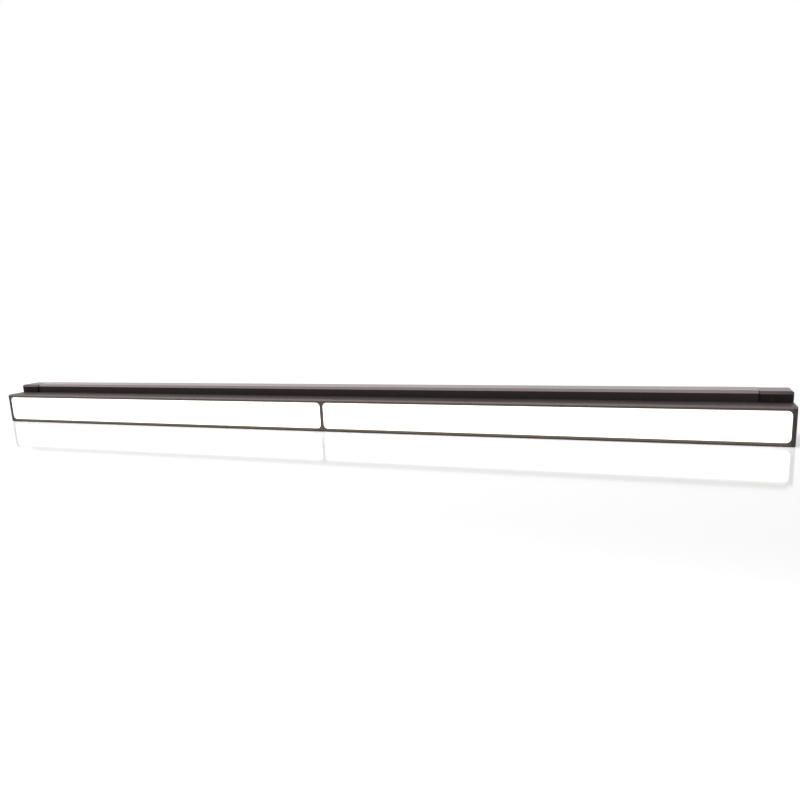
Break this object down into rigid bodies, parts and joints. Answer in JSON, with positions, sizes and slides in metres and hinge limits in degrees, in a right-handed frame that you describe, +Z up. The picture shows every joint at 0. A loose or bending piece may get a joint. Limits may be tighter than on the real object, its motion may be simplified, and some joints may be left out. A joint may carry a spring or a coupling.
{
  "type": "led reversing light bar",
  "caption": "Long slim light bar with two rounded lit windows in a dark bronze frame, carried by a taller wiring duct with moulded end blocks; lights the ground behind a vehicle.",
  "frame": {"origin": "middle of the bar's footprint, on the surface it stands on", "axes": "+X along the bar to the viewer's right, +Y from the lit face to the mounting face, +Z up"},
  "size_m": [1, 0.052, 0.05],
  "materials": {
    "bronze_aluminium": "dark bronze anodised, satin",
    "black_plastic": "moulded, fine satin texture",
    "opal_lens": "opal, satin",
    "white_reflector": "gloss white",
    "light_board": "white solder mask on aluminium",
    "led_phosphor": "silicone with phosphor",
    "thermal_pad": "soft silicone",
    "seal_rubber": "matt silicone rubber",
    "screw_steel": "plated",
    "dark_screw": "black oxide",
    "insert_steel": "zinc plated",
    "driver_board": "green solder mask on glass fibre",
    "ferrite": "matt ferrite",
    "copper_winding": "enamelled copper",
    "capacitor_can": "plastic sleeve",
    "chip_plastic": "moulded epoxy",
    "terminal_plastic": "moulded polyamide",
    "lead_plastic": "soft sheath"
  },
  "bodies": {
    "root": {"bezel_frame": "bronze_aluminium", "rear_housing": "bronze_aluminium", "rear_cover": "bronze_aluminium", "left_end_housing": "black_plastic", "right_end_housing": "black_plastic", "breather_plug": "black_plastic", "cord_clamp": "black_plastic", "left_diffuser": "opal_lens", "right_diffuser": "opal_lens", "left_reflector": "white_reflector", "right_reflector": "white_reflector", "left_led_board": "light_board", "right_led_board": "light_board", "left_leds": "led_phosphor", "right_leds": "led_phosphor", "left_thermal_pad": "thermal_pad", "right_thermal_pad": "thermal_pad", "frame_seal": "seal_rubber", "left_lens_gasket": "seal_rubber", "right_lens_gasket": "seal_rubber", "cover_gasket": "seal_rubber", "left_end_gasket": "seal_rubber", "right_end_gasket": "seal_rubber", "cable_grommet": "seal_rubber", "passage_grommets": "seal_rubber", "board_screws": "screw_steel", "terminal_screws": "screw_steel", "frame_screws": "dark_screw", "cover_screws": "dark_screw", "end_screws": "dark_screw", "clamp_screw": "dark_screw", "mounting_inserts": "insert_steel", "driver_board": "driver_board", "inductor_core": "ferrite", "inductor_winding": "copper_winding", "driver_capacitors": "capacitor_can", "driver_chips": "chip_plastic", "terminal_block": "terminal_plastic", "left_led_lead": "lead_plastic", "right_led_lead": "lead_plastic"}
  },
  "joints": []
}
